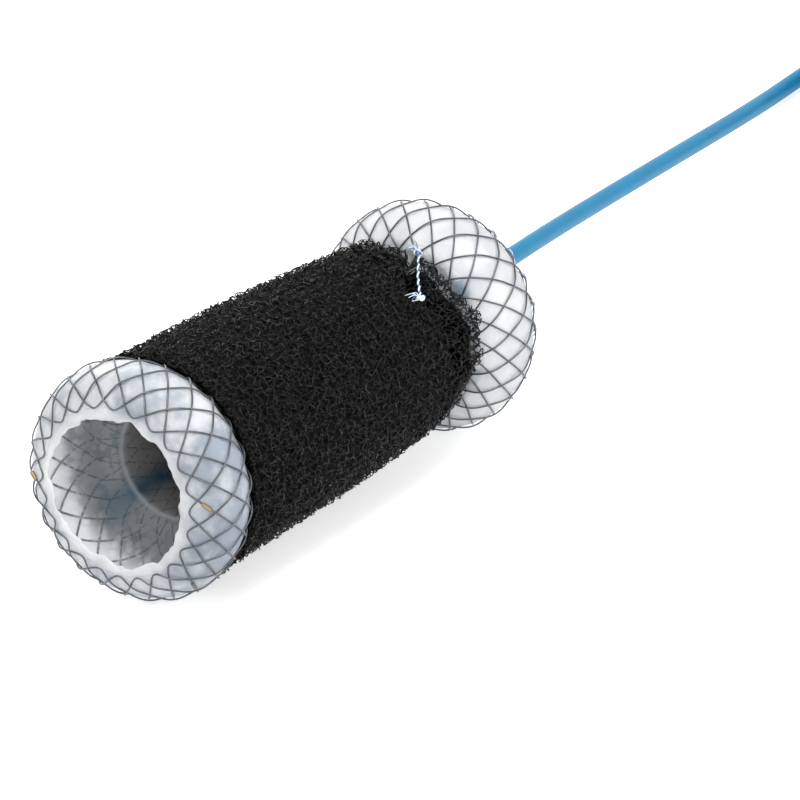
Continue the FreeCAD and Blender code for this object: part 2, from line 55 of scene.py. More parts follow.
# Sizes of the stent in millimetres and degrees, as in the CAD source. Stations count from an end plane.
AXIS_HEIGHT = 15.0
HALF = 36.0
SECTION = 5.35
SECTION_RADIUS = 9.65
LUMEN_RADIUS = 7.0
FILM_WALL = 0.2
TUBE_RADIUS = LUMEN_RADIUS + FILM_WALL
WIRE = 0.24
OUTER_LAYER = SECTION - WIRE / 2
INNER_LAYER = OUTER_LAYER - WIRE - 0.02
MEAN_LAYER = (OUTER_LAYER + INNER_LAYER) / 2
FILM_LAYER = INNER_LAYER - WIRE / 2 - 0.03
FILM_TOP = FILM_LAYER + 0.1
LAYER_STEP = (OUTER_LAYER - INNER_LAYER) / 2
TUBE_STATION = 2 * SECTION - WIRE + 1.82
CROWNS = 24
PITCH = 360.0 / CROWNS
FLARE_RINGS = 8
THROAT_RING = 7
RINGS = 35
CROWN_ANGLE = 10.3
RING_ANGLE = 26.5
CROWN_ROUND = 0.8
NEAR_PHASE = 2.4
TWIST = -5.3
FAR_PHASE = NEAR_PHASE + PITCH / 2 * RINGS + TWIST
TUBE_DIAMETER = 2.4
PASS_TURN = math.radians(-40.4)
PASS = (9.9 * math.cos(PASS_TURN), 9.9 * math.sin(PASS_TURN))
PASS_REACH = 2.6
PASS_PUSH = 0.36

# Camera in millimetres, with its focal length in pixels of an 800 pixel picture, and half the floor in metres
CAMERA_PLACE = (-647.23, -466.58, 319.97)
CAMERA_RIGHT = (0.55497, -0.83045, -0.04857)
CAMERA_UP = (0.32361, 0.16174, 0.93226)
CAMERA_VIEW = (0.76634, 0.53310, -0.35851)
FOCAL_PIXELS = 7071.76
PICTURE_PIXELS = 800
SENSOR = 36
FLOOR_HALF = 4.0

# Free run of the catheter in metres, from the far mouth to the coil: the CAD tube's route within 1.2 mm.
ROUTE = [
    (0.0350, 0.00600, 0.01040),
    (0.03827, 0.00519, 0.01136),
    (0.0447, 0.00503, 0.01245),
    (0.0567, 0.00575, 0.01269),
    (0.0761, 0.00960, 0.01080),
    (0.1089, 0.01570, 0.00730),
    (0.1380, 0.02140, 0.00390),
    (0.1550, 0.02560, 0.00155),
    (0.1665, 0.02630, 0.00180),
    (0.1725, 0.0263, 0.0018),
]
LEAD_OUT = [(0.1735, -0.00745, 0.0042), (0.170, -0.0075, 0.0042), (0.1665, -0.0075, 0.0042)]
# Coil: its centre in metres, and each turn's radius and height in millimetres. The turns run inwards on the
# floor, up, and outwards again in two layers. Near each slot's end the tube moves to the next one.
COIL_CENTRE = (0.177, 0.0094)
COIL_SLOTS = [(16.8, 1.8), (14.4, 1.8), (12.0, 1.8), (9.6, 1.8), (9.6, 4.2), (9.6, 6.6),
              (12.0, 6.6), (12.0, 4.2), (14.4, 4.2), (14.4, 6.6), (16.8, 6.6), (16.8, 4.2)]
COIL_DEGREES = 11.5 * 360
COIL_STEP = 22.5
SLOT_CHANGE = 70
SPLINE_INSET = 0.984


# Meshes


def mesh_piece(name, shape, look, node, attributes=None):
    """An object made of points in millimetres and faces that all have the same number of corners."""
    points = np.asarray(shape[0], float).reshape(-1, 3) * MM
    faces = np.asarray(shape[1], np.int32)
    mesh = bpy.data.meshes.new(name)
    mesh.vertices.add(len(points))
    mesh.vertices.foreach_set("co", points.astype(np.float32).ravel())
    mesh.loops.add(faces.size)
    mesh.loops.foreach_set("vertex_index", faces.ravel())
    mesh.polygons.add(len(faces))
    mesh.polygons.foreach_set("loop_start", np.arange(0, faces.size, faces.shape[1], dtype=np.int32))
    for label, values in (attributes or {}).items():
        mesh.attributes.new(label, "FLOAT", "POINT").data.foreach_set(
            "value", np.asarray(values, np.float32).ravel())
    mesh.update(calc_edges=True)
    mesh.validate()
    mesh.polygons.foreach_set("use_smooth", np.full(len(mesh.polygons), True))
    mesh.materials.append(bpy.data.materials[look])
    piece = bpy.data.objects.new(name, mesh)
    bpy.context.scene.collection.objects.link(piece)
    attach(piece, "root")
    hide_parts(node)
    return piece


def grid_faces(rows, columns, wrap_rows=False):
    """Quads of a grid of closed rows of points; wrapped, the last row is joined to the first one too."""
    row = np.arange(rows if wrap_rows else rows - 1)
    r, c = np.meshgrid(row, np.arange(columns), indexing="ij")
    r1, c1 = (r + 1) % rows, (c + 1) % columns
    corners = [r * columns + c, r1 * columns + c, r1 * columns + c1, r * columns + c1]
    return np.stack(corners, -1).reshape(-1, 4)


def unit(vectors):
    return vectors / np.maximum(np.linalg.norm(vectors, axis=-1, keepdims=True), 1e-12)


def full_turn(count):
    """Angles that divide a full turn evenly, in radians."""
    return np.arange(count) * 2 * math.pi / count


def polar(x, radius, turn):
    """Points at a radius and a turn in degrees about the stent's axis, from +Y towards +Z."""
    rad = np.radians(turn)
    return np.stack(np.broadcast_arrays(x, radius * np.cos(rad), radius * np.sin(rad) + AXIS_HEIGHT), -1)


def turned_from(turn, middle):
    """Degrees from one turn to another, between -180 and 180."""
    return (turn - middle + 180) % 360 - 180


def squared(cosine, power):
    """Cosine or sine raised to a small power, its sign kept, so that a circle becomes a rounded square."""
    return np.sign(cosine) * np.abs(cosine) ** power


def run_along(path):
    """Distance along a path to each of its points."""
    return np.concatenate([[0], np.cumsum(np.linalg.norm(np.diff(path, axis=0), axis=1))])


def axes_across(along, reference):
    """Two unit directions across a path: one square to the reference too, the other square to the first."""
    across = unit(np.cross(reference, along))
    return across, np.cross(along, across)


def closed_tube(path, radius, sides, closed=False, normals=None):
    """Points and quads of a round section carried along a path.

    Each point is the path's plus the radius times the cosine and sine of the turn in the plane across
    it. An open tube narrows to nothing at its two ends, so that they are closed.
    """
    path = np.asarray(path, float)
    if normals is None:
        normals = np.tile((0.0, 0.0, 1.0), (len(path), 1))
    radius = np.broadcast_to(radius, len(path))
    if closed:
        along = unit(np.roll(path, -1, 0) - np.roll(path, 1, 0))
    else:
        along = unit(np.gradient(path, axis=0))
        path, along, normals = (np.concatenate([rows[:1], rows, rows[-1:]])
                                for rows in (path, along, normals))
        radius = np.concatenate([[0], radius, [0]])
    across, rise = axes_across(along, normals)
    turn = full_turn(sides)[None, :, None]
    ring = rise[:, None] * np.cos(turn) + across[:, None] * np.sin(turn)
    points = path[:, None] + ring * radius[:, None, None]
    return points, grid_faces(len(path), sides, wrap_rows=closed)[:, ::-1]


def join(parts):
    """Several (points, faces) put into one."""
    points, faces, start = [], [], 0
    for some_points, some_faces in parts:
        points.append(np.asarray(some_points).reshape(-1, 3))
        faces.append(np.asarray(some_faces) + start)
        start += len(points[-1])
    return np.concatenate(points), np.concatenate(faces)


def hashed(numbers, seed):
    """Repeatable pseudo-random numbers from 0 to 1 for whole numbers: the fraction of a large sine."""
    value = np.sin(numbers * 12.9898 + seed * 78.233) * 43758.5453
    return value - np.floor(value)


def eased(value):
    """Smooth step: 0 below 0, 1 above 1, and three squares less two cubes between."""
    value = np.clip(value, 0, 1)
    return value * value * (3 - 2 * value)


# The stent's rolled skin


def section_angle(ring):
    """Angle on the flare's section at a ring, in radians: a hyperbola, which rounds the crowns."""
    reach = (np.hypot(ring, CROWN_ROUND) - CROWN_ROUND) * np.where(ring < 0, -1, 1)
    return np.radians(CROWN_ANGLE + RING_ANGLE * reach)


def skin(ring, turn, layer):
    """Points and outward normals of a layer of the skin.

    The ring number runs from 0 at the near crowns to 35 at the far ones. Up to ring 7 the section is
    a circle; from 7 to 8 a cubic curve leads to the tube; the rest is straight. The far half mirrors
    the near one. The turn is in degrees about the axis.
    """
    ring, turn = np.broadcast_arrays(np.asarray(ring, float), np.asarray(turn, float))
    layer = np.broadcast_to(layer, ring.shape)
    far = ring > RINGS / 2
    t = np.where(far, RINGS - ring, ring)
    angle = section_angle(t)
    normal_x, normal_r = -np.cos(angle), np.sin(angle)
    x, r = SECTION - layer * np.cos(angle), SECTION_RADIUS + layer * np.sin(angle)
    # Throat: cubic from the circle to the tube, whose handles are 1.7 and 1.25 mm long
    last = section_angle(THROAT_RING)
    start = np.array([SECTION - FILM_LAYER * np.cos(last), SECTION_RADIUS + FILM_LAYER * np.sin(last)])
    end = np.array([TUBE_STATION, TUBE_RADIUS])
    first, second = start + np.array([np.sin(last), np.cos(last)]) * 1.7, end - np.array([1.25, 0])
    s = np.clip(t - THROAT_RING, 0, 1)[..., None]
    curve = (1 - s) ** 3 * start + 3 * (1 - s) ** 2 * s * first + 3 * (1 - s) * s * s * second + s ** 3 * end
    slope = unit((1 - s) ** 2 * (first - start) + 2 * (1 - s) * s * (second - first) + s * s * (end - second))
    throat_x, throat_r = -slope[..., 1], slope[..., 0]
    lift = layer - FILM_LAYER
    in_throat = (t > THROAT_RING) & (t < FLARE_RINGS)
    x = np.where(in_throat, curve[..., 0] + throat_x * lift, x)
    r = np.where(in_throat, curve[..., 1] + throat_r * lift, r)
    normal_x, normal_r = np.where(in_throat, throat_x, normal_x), np.where(in_throat, throat_r, normal_r)
    in_tube = t >= FLARE_RINGS
    share = (ring - FLARE_RINGS) / (RINGS - 2 * FLARE_RINGS)
    tube_x = TUBE_STATION + (2 * HALF - 2 * TUBE_STATION) * np.where(far, 1 - share, share)
    x = np.where(in_tube, tube_x, x)
    r = np.where(in_tube, TUBE_RADIUS + lift, r)
    normal_x, normal_r = np.where(in_tube, 0, normal_x), np.where(in_tube, 1, normal_r)
    side = np.where(far, -1.0, 1.0)
    rad = np.radians(turn)
    points = np.stack([side * (x - HALF), r * np.cos(rad), r * np.sin(rad)], -1)
    normals = np.stack([side * normal_x, normal_r * np.cos(rad), normal_r * np.sin(rad)], -1)
    # The skin opens a little round the catheter
    away = points[..., 1:] - np.array(PASS)
    distance = np.maximum(np.linalg.norm(away, axis=-1), 0.01)
    push = PASS_PUSH * np.exp(-(distance / PASS_REACH) ** 2) * eased((points[..., 0] - 21) / 3)
    points[..., 1:] += away / distance[..., None] * push[..., None]
    points[..., 2] += AXIS_HEIGHT
    return points, normals


def twist_at(ring):
    """Degrees by which the skin is turned at a ring: none in the near flare, all in the far one."""
    return TWIST * eased((ring - FLARE_RINGS) / (RINGS - 2.0 * FLARE_RINGS))


def wire_turn(crown, hand, ring):
    """Angle of a wire at a ring: half a pitch per ring to one side or the other, plus the waist's twist."""
    return NEAR_PHASE + PITCH * crown + hand * PITCH / 2 * ring + twist_at(ring)


def wire_layer(hand, ring):
    """Height of a wire: it goes over one crossing and under the next, and lies midway at the crowns."""
    fade = np.clip(ring, 0, 1) * np.clip(RINGS - ring, 0, 1)
    return MEAN_LAYER + hand * LAYER_STEP * np.cos(math.pi * ring) * fade


def wire_path(crown, hand, ring):
    """Points and outward normals of the wire that starts at a crown and winds to one hand."""
    return skin(ring, wire_turn(crown, hand, ring), wire_layer(hand, ring))


# Materials


def feed(tree, node, inputs):
    """Gives each named or numbered input a link from a socket, a colour of three numbers or a plain value."""
    for label, value in inputs.items():
        socket = node.inputs[label]
        if isinstance(value, bpy.types.NodeSocket):
            tree.links.new(value, socket)
        else:
            socket.default_value = (*value, 1) if socket.type == "RGBA" else value


def add_node(tree, kind, inputs=None, **settings):
    """New node with its settings and inputs; the kind goes without the words that all of them share."""
    node = tree.nodes.new("ShaderNode" + kind)
    for name, value in settings.items():
        setattr(node, name, value)
    feed(tree, node, inputs or {})
    return node


def object_place(tree):
    return add_node(tree, "TexCoord").outputs["Object"]


def new_material(name):
    material = bpy.data.materials.new(name)
    material.use_nodes = True
    return material, material.node_tree, material.node_tree.nodes["Principled BSDF"]


def grain_group():
    """Fine grain on Object coordinates: a mask from 0 to 1 and a bumped normal."""
    tree = bpy.data.node_groups.get("fine_grain")
    if tree:
        return tree
    tree = bpy.data.node_groups.new("fine_grain", "ShaderNodeTree")
    for label, value in (("Scale", 800), ("Strength", 0.3), ("Height", 0.0001)):
        socket = tree.interface.new_socket(label, in_out="INPUT", socket_type="NodeSocketFloat")
        socket.default_value = value
    tree.interface.new_socket("Mask", in_out="OUTPUT", socket_type="NodeSocketFloat")
    tree.interface.new_socket("Normal", in_out="OUTPUT", socket_type="NodeSocketVector")
    start, end = tree.nodes.new("NodeGroupInput").outputs, tree.nodes.new("NodeGroupOutput")
    noise = add_node(tree, "TexNoise", {"Vector": object_place(tree), "Scale": start["Scale"], "Detail": 4,
                                        "Roughness": 0.6}).outputs["Fac"]
    bump = add_node(tree, "Bump", {"Height": noise, "Strength": start["Strength"],
                                   "Distance": start["Height"]}).outputs["Normal"]
    feed(tree, end, {"Mask": noise, "Normal": bump})
    return tree


def add_grain(tree, scale, strength, height):
    """Mask and normal of the fine grain, at a scale of one over its size in metres."""
    node = tree.nodes.new("ShaderNodeGroup")
    node.node_tree = grain_group()
    feed(tree, node, {"Scale": scale, "Strength": strength, "Height": height})
    return node.outputs["Mask"], node.outputs["Normal"]


def ramp(tree, source, stops):
    """Colour that runs through the stops, each a position and three numbers."""
    node = add_node(tree, "ValToRGB", {"Fac": source})
    elements = node.color_ramp.elements
    while len(elements) < len(stops):
        elements.new(0.5)
    for element, (position, colour) in zip(elements, stops):
        element.position = position
        element.color = (*colour, 1)
    return node.outputs["Color"]


def spread_map(tree, source, low, high, new_low, new_high):
    """The span from low to high, spread over the new span and held at its ends."""
    return add_node(tree, "MapRange", {"Value": source, "From Min": low, "From Max": high, "To Min": new_low,
                                       "To Max": new_high}).outputs["Result"]


def blend_colour(tree, share, first, second):
    """Colour between two, each a socket or three numbers: the node's inputs 6 and 7 and its output 2."""
    return add_node(tree, "Mix", {"Factor": share, 6: first, 7: second}, data_type="RGBA").outputs[2]


def maths(tree, operation, *values):
    return add_node(tree, "Math", dict(enumerate(values)), operation=operation).outputs[0]


def drifted(tree, push, reach):
    """Object coordinates, pushed about by a grain times a reach in metres."""
    inputs = {0: push, 1: reach, 2: object_place(tree)}
    return add_node(tree, "VectorMath", inputs, operation="MULTIPLY_ADD").outputs["Vector"]


def cell_distance(tree, where, feature, **values):
    """Distance inside irregular cells, from their middles or from their edges."""
    return add_node(tree, "TexVoronoi", {"Vector": where, **values}, feature=feature).outputs["Distance"]


def grained(name, dark, light, scale, roughness, strength=0.2, height=0.00003,
            metallic=0.0, coat=0.0, gloss=0.5):
    """Material whose colour and roughness wander between two values with a fine grain."""
    tree, shader = new_material(name)[1:]
    mask, normal = add_grain(tree, scale, strength, height)
    feed(tree, shader, {
        "Base Color": ramp(tree, mask, [(0.35, dark), (0.65, light)]), "Normal": normal,
        "Roughness": spread_map(tree, mask, 0.3, 0.7, *roughness), "Metallic": metallic,
        "Coat Weight": coat, "Coat Roughness": 0.15, "Specular IOR Level": gloss})


def wire_shadow_mask(tree):
    """Mask that is 1 where a wire touches the film, for the painted wire shadows seen from inside.

    It comes from the distance to the nearest whole number of either of the film's two braid coordinates.
    """
    place = add_node(tree, "UVMap", uv_map="braid").outputs["UV"]
    parts = add_node(tree, "SeparateXYZ", {"Vector": place}).outputs
    hands = [maths(tree, "PINGPONG", parts[axis], 0.5) for axis in ("X", "Y")]
    return spread_map(tree, maths(tree, "MINIMUM", *hands), 0.025, 0.075, 1, 0)


def film_material(colours):
    """Milky film, patchy and whiter at the lip, with painted light and shade: darker where foam lies behind
    it, partly the foam showing through; painted wire shadows; a blue patch at the catheter; a painted
    highlight where it turns into the tube; lighter towards +Y; a uniform pale far flare.
    """
    tree, shader = new_material("milky_film")[1:]
    cloud, cloud_normal = add_grain(tree, 170, 0.25, 0.00015)
    speck, speck_normal = add_grain(tree, 1500, 0.1, 0.00003)
    behind, lip, waist, far, throat_highlight, veil, inner, blue = (
        add_node(tree, "Attribute", attribute_name=label).outputs["Fac"]
        for label in ("behind", "lip", "waist", "far", "throat_highlight", "veil", "inner", "blue"))

    def times(first, second):
        return maths(tree, "MULTIPLY", first, second)

    def larger(first, second):
        return maths(tree, "MAXIMUM", first, second)

    # Painted light and shade: the film is painted lighter towards +Y, the side away from the camera, and
    # darker towards -Y
    across = add_node(tree, "SeparateXYZ", {"Vector": object_place(tree)}).outputs["Y"]
    side_light_and_shade = spread_map(tree, across, -0.009, 0.004, -0.03, 0.1)
    tint = ramp(tree, maths(tree, "ADD", cloud, side_light_and_shade),
                [(0.4, tuple(colours.film_shade)), (0.56, tuple(colours.film)), (0.75, (0.97, 0.975, 0.98))])
    # Painted light: the far flare is blended towards a uniform pale grey that stands in for the light shining
    # through it from behind
    tint = blend_colour(tree, times(far, 0.75), tint, (0.93, 0.93, 0.93))
    # Pores of the foam, blurred by the film, which mottle the painted shade where foam lies behind it
    drift = drifted(tree, speck_normal, (0.0006, 0.0006, 0.0006))
    pores = cell_distance(tree, drift, "SMOOTH_F1", Scale=950, Smoothness=0.35)
    pores = spread_map(tree, pores, 0.15, 0.6, 0.3, 1.05)
    patches = spread_map(tree, cloud, 0.36, 0.62, 0.7, 1.1)
    # Where foam lies behind the film it is painted darker: partly the black foam showing through, partly
    # painted shade where no light comes through the foam
    even = times(maths(tree, "POWER", behind, 3.0), 0.8)
    # Painted wire shadows: dark lines where the wires lie behind the film, partly the dark wires showing
    # through and partly their painted shadow; whole near the mouth, broken into dashes further in
    dashes = larger(spread_map(tree, speck, 0.43, 0.52, 0.0, 1.0), maths(tree, "SUBTRACT", 1.0, behind))
    colour = tint
    for share, shade in ((larger(times(behind, times(pores, patches)), even), (0.28, 0.305, 0.32)),
                         # The lumen's film, painted darker: partly the foam showing through, partly painted
                         # shade inside the tube
                         (waist, (0.5, 0.485, 0.475)),
                         (times(wire_shadow_mask(tree), times(dashes, inner)), (0.035, 0.037, 0.04)),
                         (times(blue, patches), (0.04, 0.15, 0.25)),
                         # Painted highlight along the ring where the film turns into the tube
                         (times(throat_highlight, 0.8), (0.8, 0.84, 0.88)),
                         (lip, (0.93, 0.94, 0.95))):
        colour = blend_colour(tree, share, colour, shade)
    cover = spread_map(tree, cloud, 0.35, 0.7, 0.54, 0.72)
    for place, share in ((lip, 0.72), (behind, 0.82), (waist, 0.9), (far, 0.76), (veil, 0.8)):
        cover = larger(cover, times(place, share))
    feed(tree, shader, {"Base Color": colour, "Roughness": spread_map(tree, speck, 0.3, 0.7, 0.25, 0.45),
                        "Normal": cloud_normal, "Specular IOR Level": 0.5})
    # Light that falls on one side glows through to the other
    glow = add_node(tree, "BsdfTranslucent", {"Color": colour}).outputs[0]
    clear = add_node(tree, "BsdfTransparent").outputs[0]
    body = add_node(tree, "MixShader", {0: 0.4, 1: shader.outputs["BSDF"], 2: glow}).outputs[0]
    whole = add_node(tree, "MixShader", {0: cover, 1: clear, 2: body}).outputs[0]
    feed(tree, tree.nodes["Material Output"], {"Surface": whole})


def strand_material(foam):
    """Inside of the foam: faint deeper strands, the seams between cells of two sizes, on near black that is
    painted shade deep in the pores.
    """
    tree, shader = new_material("foam_depth_shade")[1:]
    mask, normal = add_grain(tree, 900, 0.3, 0.00005)
    drift = drifted(tree, mask, (0.0016, -0.0014, 0.0015))
    seams = []
    for scale, share in ((700, 1.0), (1050, 0.55)):
        distance = cell_distance(tree, drift, "DISTANCE_TO_EDGE", Scale=scale)
        seams.append(spread_map(tree, distance, 0.02, 0.11, share, 0))
    # Near black between the strands: painted shade deep in the foam's pores
    colour = ramp(tree, maths(tree, "MAXIMUM", *seams), [(0.0, (0.0004, 0.0004, 0.0004)), (1.0, foam)])
    feed(tree, shader, {"Base Color": colour, "Normal": normal, "Roughness": 0.8, "Specular IOR Level": 0.05})


def make_materials(colours):
    """Every finish of the stent, from the panel's colours."""
    wire, foam, tube = tuple(colours.wire), tuple(colours.foam), tuple(colours.catheter)
    film_material(colours)
    strand_material(foam)
    grained("oxide_wire", tuple(c * 0.7 for c in wire), wire, 900, (0.28, 0.42), 0.1, 0.00001, metallic=0.85)
    grained("foam_strut", tuple(c * 0.4 for c in foam), foam, 1800, (0.3, 0.5), 0.3, 0.00004, gloss=0.26)
    grained("blue_tube", tuple(c * 0.85 for c in tube), tube, 120, (0.42, 0.52), 0.08, 0.00003, gloss=0.25)
    grained("white_thread", (0.7, 0.74, 0.82), (0.92, 0.94, 0.97), 3000, (0.6, 0.8), 0.5, 0.00003)
    grained("blue_thread", (0.03, 0.16, 0.42), (0.08, 0.3, 0.62), 3000, (0.6, 0.8), 0.5, 0.00003)
    grained("marker_metal", (0.2, 0.15, 0.1), (0.34, 0.27, 0.18), 1500, (0.35, 0.5), 0.15, 0.00001,
            metallic=0.8)
    grained("tie_plastic", (0.72, 0.73, 0.74), (0.82, 0.83, 0.84), 700, (0.4, 0.55))
    grained("hub_plastic", (0.05, 0.25, 0.45), (0.07, 0.3, 0.52), 700, (0.3, 0.42), coat=0.1)


# Properties


class StentSizes(bpy.types.PropertyGroup):
    wire_radius: bpy.props.FloatProperty(
        name="Wire radius", description="Half the thickness of the braid's wire", default=0.11 * MM,
        unit="LENGTH", precision=5)
    strut_radius: bpy.props.FloatProperty(
        name="Strut radius", description="Half the thickness of the foam's struts", default=0.066 * MM,
        unit="LENGTH", precision=5)
    foam_cell: bpy.props.FloatProperty(
        name="Foam cell", description="Size of the repeated cell of the foam", default=1.36 * MM,
        unit="LENGTH", precision=5)
    film_sag: bpy.props.FloatProperty(
        name="Film sag", description="How far the film lies below the wires between them", default=0.08 * MM,
        unit="LENGTH", precision=5)
    catheter_diameter: bpy.props.FloatProperty(
        name="Catheter diameter", description="Outer diameter of the suction catheter",
        default=TUBE_DIAMETER * MM, unit="LENGTH", precision=4)


class StentColours(bpy.types.PropertyGroup):
    wire: bpy.props.FloatVectorProperty(
        name="Wire", description="Dark oxide of the wire", default=(0.13, 0.14, 0.158), subtype="COLOR")
    film: bpy.props.FloatVectorProperty(
        name="Film", description="Milky cover film", default=(0.88, 0.9, 0.92), subtype="COLOR")
    # Film shade: colour of the film's random blue-grey patches, and of the painted shade on its -Y side
    film_shade: bpy.props.FloatVectorProperty(
        name="Film shade", description="Thin places of the film", default=(0.5, 0.56, 0.64), subtype="COLOR")
    foam: bpy.props.FloatVectorProperty(
        name="Foam", description="Foam struts", default=(0.0115, 0.0115, 0.0108), subtype="COLOR")
    catheter: bpy.props.FloatVectorProperty(
        name="Catheter", description="Blue of the catheter", default=(0.0105, 0.215, 0.41), subtype="COLOR")


# Pieces


class STENT_OT_camera(bpy.types.Operator):
    """Camera at the photograph's viewing angle"""
    bl_idname = "stent.camera"
    bl_label = "Camera"

    def execute(self, context):
        data = bpy.data.cameras.new("camera")
        data.lens = FOCAL_PIXELS / PICTURE_PIXELS * SENSOR
        data.sensor_width = SENSOR
        data.clip_start, data.clip_end = 0.05, 20
        camera = bpy.data.objects.new("camera", data)
        turn = Matrix((Vector(CAMERA_RIGHT), Vector(CAMERA_UP), -Vector(CAMERA_VIEW))).transposed().to_4x4()
        camera.matrix_world = Matrix.Translation(Vector(CAMERA_PLACE) * MM) @ turn
        context.scene.collection.objects.link(camera)
        context.scene.camera = camera
        return {"FINISHED"}


def coil_points():
    """Turns of the coil, clockwise from above.

    Each slot is held for 345 degrees, and over the last 70 of them an eased step leads to the next.
    """
    turn = np.arange(COIL_STEP, COIL_DEGREES + 1, COIL_STEP)
    slots = np.array(COIL_SLOTS)
    span = COIL_DEGREES / len(slots)
    index = np.minimum((turn / span).astype(int), len(slots) - 1)
    share = eased((turn - index * span - (span - SLOT_CHANGE)) / SLOT_CHANGE)[:, None]
    follow = np.minimum(index + 1, len(slots) - 1)
    place = slots[index] * (1 - share) + slots[follow] * share
    angle = np.radians(90 - turn)
    # The spline lies a little inside its points, so they stand further out
    radius = place[:, 0] / SPLINE_INSET
    return [(COIL_CENTRE[0] + r * MM * c, COIL_CENTRE[1] + r * MM * s, z * MM)
            for r, c, s, z in zip(radius, np.cos(angle), np.sin(angle), place[:, 1])]


class STENT_OT_catheter_run(bpy.types.Operator):
    """Free run of the catheter and its coil, one smooth spline"""
    bl_idname = "stent.catheter_run"
    bl_label = "Catheter run and coil"

    def execute(self, context):
        points = ROUTE + coil_points()[:-1] + LEAD_OUT
        curve = bpy.data.curves.new("catheter_run_and_coil", "CURVE")
        curve.dimensions = "3D"
        spline = curve.splines.new("NURBS")
        spline.points.add(len(points) - 1)
        spline.points.foreach_set("co", np.array([(*point, 1) for point in points], np.float32).ravel())
        spline.order_u = 3
        spline.use_endpoint_u = True
        spline.resolution_u = 6
        curve.bevel_depth = context.scene.stent_sizes.catheter_diameter / 2
        curve.bevel_resolution = 5
        curve.use_fill_caps = True
        curve.materials.append(bpy.data.materials["blue_tube"])
        run = bpy.data.objects.new("catheter_run_and_coil", curve)
        context.scene.collection.objects.link(run)
        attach(run, "root")
        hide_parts("catheter_run", "catheter_coil")
        return {"FINISHED"}


class STENT_OT_coil_end(bpy.types.Operator):
    """Tie round the coil and the hub on the catheter's end"""
    bl_idname = "stent.coil_end"
    bl_label = "Coil tie and hub"

    def execute(self, context):
        tie = self.tie()
        hub = self.hub()
        return {"FINISHED"}

    def tie(self):
        """Flat band round the coil: a rounded rectangle carried round its section, 0.5 mm thick."""
        low, high = (np.array(corner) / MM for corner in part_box("coil_tie"))
        centre, half = (low + high) / 2, (high - low) / 2
        turn = full_turn(64)
        shape_x, shape_z = squared(np.cos(turn), 0.28), squared(np.sin(turn), 0.28)
        section = ((0, 0.86), (0, -0.86), (0.12, -1), (0.38, -1),
                   (0.5, -0.86), (0.5, 0.86), (0.38, 1), (0.12, 1))
        rings = [np.stack([centre[0] + shape_x * (half[0] - inset), np.full(64, centre[1] + half[1] * width),
                           centre[2] + shape_z * (half[2] - inset)], -1) for inset, width in section]
        shape = rings, grid_faces(len(section), 64, wrap_rows=True)
        return mesh_piece("coil_tie_band", shape, "tie_plastic", "coil_tie")

    def hub(self):
        """Hub: a profile turned about its axis, with the cone in its mouth, two lugs and two ribbed wings."""
        low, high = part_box("luer_connector")
        start = np.array([high[0], (low[1] + high[1]) / 2, (low[2] + high[2]) / 2]) / MM
        outline = np.array([
            (0, 1.24), (0.0, 1.75), (0.25, 2.0), (2.2, 2.1), (3.2, 2.75), (3.6, 2.88), (6.0, 2.9),
            (9.4, 2.86), (10.8, 2.84), (11.0, 2.9), (11.2, 3.1), (12.9, 3.1), (13.0, 3.0),
            (13.0, 2.25), (12.9, 2.15), (9.0, 2.03), (5.0, 1.91), (5.0, 0.7), (4.9, 0.0)])
        x, r = outline.T[:, :, None]
        turn = full_turn(48)
        body = start + np.stack(np.broadcast_arrays(-x, r * np.cos(turn), r * np.sin(turn)), -1)
        parts = [(body, grid_faces(len(outline), 48)[:, ::-1])]
        for side in (-1, 1):
            parts.append(self.block(start + (-12.2, 0, side * 3.3), (0.8, 2.0, 0.6)))
            parts.append(self.block(start + (-5.5, side * 3.5, 0), (2.5, 0.98, 0.6)))
            for rib in range(4):
                parts.append(self.block(start + (-3.9 - rib * 1.1, side * 3.6, 0), (0.18, 0.86, 0.78)))
        return mesh_piece("suction_hub", join(parts), "hub_plastic", "luer_connector")

    def block(self, centre, half):
        """Softened box: a super-ellipsoid, each direction's cosines raised to a small power."""
        rows, columns, power = 16, 24, 0.25
        rise = np.linspace(-math.pi / 2, math.pi / 2, rows)[:, None]
        turn = full_turn(columns)[None, :]
        x = squared(np.cos(rise), power) * squared(np.cos(turn), power)
        y = squared(np.cos(rise), power) * squared(np.sin(turn), power)
        z = squared(np.sin(rise), power) * np.ones_like(turn)
        points = np.stack([x, y, z], -1) * np.array(half) + np.asarray(centre)
        return points, grid_faces(rows, columns)[:, ::-1]


class STENT_OT_braid(bpy.types.Operator):
    """The single wire, woven over and under itself, round after round"""
    bl_idname = "stent.braid"
    bl_label = "Wire braid"

    def execute(self, context):
        end = np.array([0, 0.12, 0.25, 0.4, 0.6, 0.8])
        ring = np.concatenate([end, np.arange(1, RINGS - 1 + 0.01, 0.2), RINGS - end[::-1]])
        paths, normals = [], []
        crown = 0
        for _ in range(CROWNS):
            for start, hand, rings in ((crown, 1, ring), (crown + RINGS, -1, ring[::-1])):
                points, outward = wire_path(start, hand, rings)
                paths.append(points[:-1])
                normals.append(outward[:-1])
            crown = (crown + RINGS) % CROWNS
        radius = context.scene.stent_sizes.wire_radius / MM
        tube = closed_tube(np.concatenate(paths), radius, 7, True, np.concatenate(normals))
        mesh_piece("woven_wire", tube, "oxide_wire", "wire_braid")
        return {"FINISHED"}


